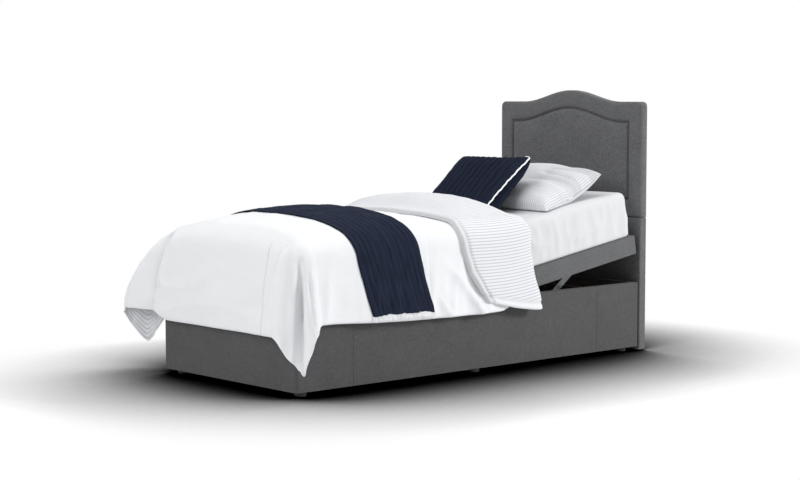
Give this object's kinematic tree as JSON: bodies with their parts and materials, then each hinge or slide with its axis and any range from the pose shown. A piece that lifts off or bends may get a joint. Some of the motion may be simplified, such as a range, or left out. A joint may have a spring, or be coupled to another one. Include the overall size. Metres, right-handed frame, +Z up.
{
  "type": "adjustable bed",
  "caption": "Adjustable bed with an upholstered base, powered folding deck, arched padded headboard, mattress and dressed bedding, its back section slightly raised.",
  "frame": {"origin": "on the floor under the middle of the upholstered base", "axes": "+X towards the right-hand side seen from the foot, +Y from the foot towards the headboard, +Z up"},
  "size_m": [1.3419, 2.1416, 1.209],
  "materials": {
    "headboard_fabric": "woven, heathered grey",
    "base_fabric": "woven, grey",
    "deck_fabric": "woven, light grey",
    "timber": "planed softwood",
    "deck_board": "plywood",
    "frame_steel": "satin black paint",
    "zinc_steel": "zinc plated",
    "pin_steel": "turned",
    "drive_plastic": "moulded, fine grain",
    "motor_plastic": "moulded",
    "box_plastic": "moulded",
    "roller_plastic": "turned nylon",
    "glide_plastic": "moulded",
    "mattress_ticking": "white sheet",
    "duvet_cotton": "white cotton, grey pinstripe inside",
    "runner_quilt": "navy quilted, white fringe",
    "pillow_cotton": "white cotton, grey pinstripe",
    "cushion_quilt": "navy quilted, white piping"
  },
  "bodies": {
    "base": {"headboard_upper": "headboard_fabric", "headboard_lower": "headboard_fabric", "headboard_plates": "zinc_steel", "headboard_bolts": "zinc_steel", "base_cover_foot": "base_fabric", "base_cover_head": "base_fabric", "base_cover_left": "base_fabric", "base_cover_right": "base_fabric", "base_side_rails": "timber", "base_end_rails": "timber", "base_corner_blocks": "timber", "base_bearers": "timber", "floor_glides": "glide_plastic", "frame_side_tubes": "frame_steel", "frame_cross_tubes": "frame_steel", "frame_bolts": "zinc_steel", "bearing_plates": "frame_steel", "seat_posts": "frame_steel", "drive_unit": "drive_plastic", "drive_motors": "motor_plastic", "control_box": "box_plastic", "link_frame_pins": "pin_steel", "seat_cover": "deck_fabric", "seat_deck": "deck_board", "hip_hinge_leaves": "zinc_steel", "hip_hinge_pins": "pin_steel", "mattress_seat": "mattress_ticking", "duvet_turn_down": "duvet_cotton"},
    "back": {"back_cover": "deck_fabric", "back_deck": "deck_board", "back_tracks": "zinc_steel", "back_hinge_leaves": "zinc_steel", "mattress_back": "mattress_ticking", "pillow": "pillow_cotton", "cushion": "cushion_quilt"},
    "back_arms": {"back_torque_tube": "frame_steel", "back_lift_arms": "zinc_steel"},
    "back_rollers": {"back_rollers": "roller_plastic"},
    "thigh": {"thigh_cover": "deck_fabric", "thigh_deck": "deck_board", "thigh_tracks": "zinc_steel", "thigh_hinge_leaves": "zinc_steel", "knee_hinge_leaves": "zinc_steel", "knee_hinge_pins": "pin_steel", "mattress_thigh": "mattress_ticking", "duvet_middle": "duvet_cotton", "runner": "runner_quilt"},
    "leg_arms": {"leg_torque_tube": "frame_steel", "leg_lift_arms": "zinc_steel"},
    "leg_rollers": {"leg_rollers": "roller_plastic"},
    "calf": {"calf_cover": "deck_fabric", "calf_deck": "deck_board", "calf_hinge_leaves": "zinc_steel", "calf_brackets": "frame_steel", "link_calf_pins": "pin_steel", "mattress_calf": "mattress_ticking", "duvet_foot": "duvet_cotton"},
    "links": {"swing_links": "frame_steel"}
  },
  "joints": [
    {"name": "back_lift", "type": "hinge", "parent": "base", "child": "back", "pos_m": [0, 0.165, 0.396], "axis": [1, 0, 0], "range_deg": [-9.3, 46], "deforming": ["mattress_seat", "duvet_turn_down"]},
    {"name": "back_arm_turn", "type": "hinge", "parent": "base", "child": "back_arms", "pos_m": [0, 0.4728, 0.246], "axis": [1, 0, 0], "range_deg": [-20.6, 101]},
    {"name": "back_roller_spin", "type": "hinge", "parent": "back_arms", "child": "back_rollers", "pos_m": [0, 0.68332, 0.39876], "axis": [1, 0, 0], "continuous": true},
    {"name": "thigh_lift", "type": "hinge", "parent": "base", "child": "thigh", "pos_m": [0, -0.08, 0.396], "axis": [-1, 0, 0], "range_deg": [0, 35], "deforming": ["duvet_middle"]},
    {"name": "leg_arm_turn", "type": "hinge", "parent": "base", "child": "leg_arms", "pos_m": [0, -0.2487, 0.246], "axis": [-1, 0, 0], "range_deg": [-0.5, 81]},
    {"name": "leg_roller_spin", "type": "hinge", "parent": "leg_arms", "child": "leg_rollers", "pos_m": [0, -0.37494, 0.31569], "axis": [1, 0, 0], "continuous": true},
    {"name": "calf_level", "type": "hinge", "parent": "thigh", "child": "calf", "pos_m": [0, -0.43, 0.331], "axis": [-1, 0, 0], "range_deg": [-35.2, 0.2], "deforming": ["duvet_foot", "runner"]},
    {"name": "link_turn", "type": "hinge", "parent": "base", "child": "links", "pos_m": [0, -0.55, 0.282], "axis": [-1, 0, 0], "range_deg": [-0.2, 35.2]}
  ],
  "couplings": [
    {"joint": "back_arm_turn", "follows": "back_lift", "ratio": 2.195},
    {"joint": "leg_arm_turn", "follows": "thigh_lift", "ratio": 2.3119},
    {"joint": "calf_level", "follows": "thigh_lift", "ratio": -1},
    {"joint": "link_turn", "follows": "thigh_lift", "ratio": 1}
  ]
}
